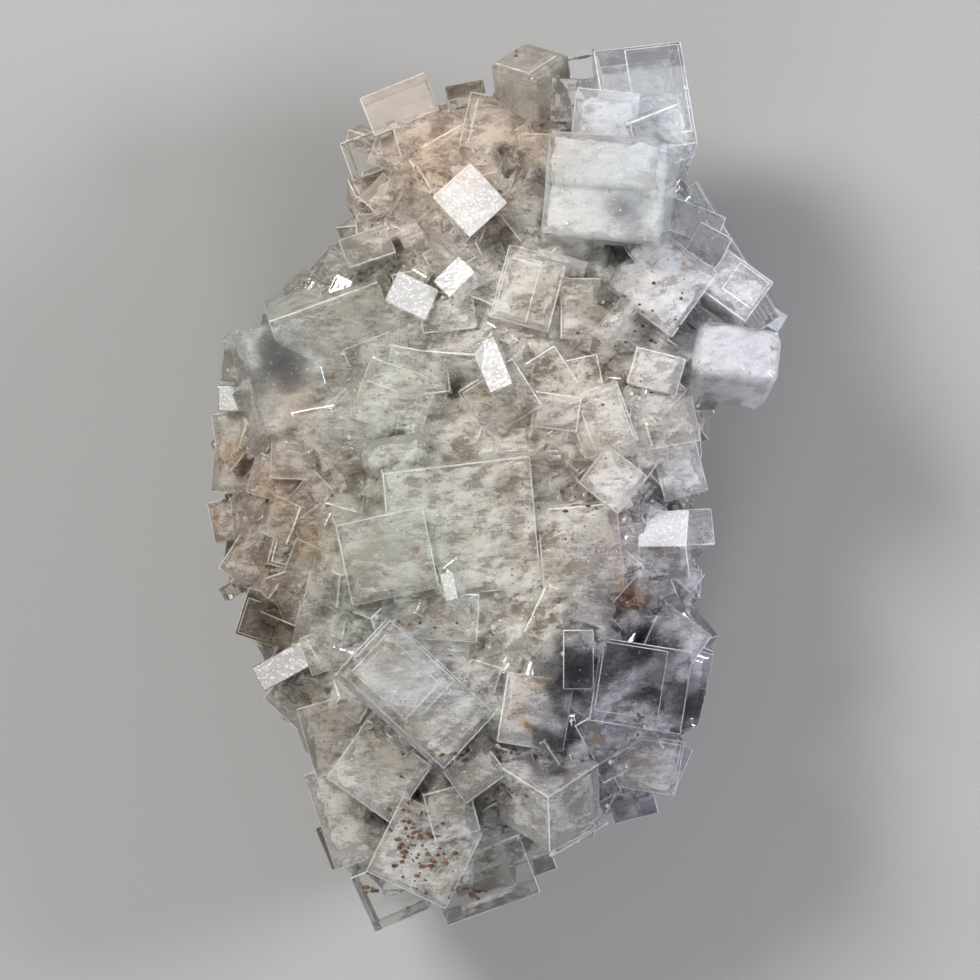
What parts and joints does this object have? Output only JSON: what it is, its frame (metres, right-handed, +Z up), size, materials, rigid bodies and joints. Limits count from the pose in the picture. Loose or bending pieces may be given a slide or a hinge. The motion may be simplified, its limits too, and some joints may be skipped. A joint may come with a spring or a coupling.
{
  "type": "phantom fluorite on matrix",
  "caption": "Cabinet mineral specimen: a crust of clear to milky fluorite cubes grown together over a slab of ribbed rock, lying on the rock's flat back.",
  "frame": {"origin": "on the surface that the specimen lies on, under the middle of its outline", "axes": "+Z up, the way the crystals face; +Y along the specimen from its narrow foot to its two-lobed head; +X to the right as the crystals are seen"},
  "size_m": [0.0731, 0.1115, 0.0457],
  "materials": {
    "matrix_rock": "rough, ribbed, cream to brown",
    "fluorite": "clear to milky, glassy faces with frosted patches"
  },
  "bodies": {
    "root": {"matrix": "matrix_rock", "fluorite_crystals": "fluorite"}
  },
  "joints": []
}
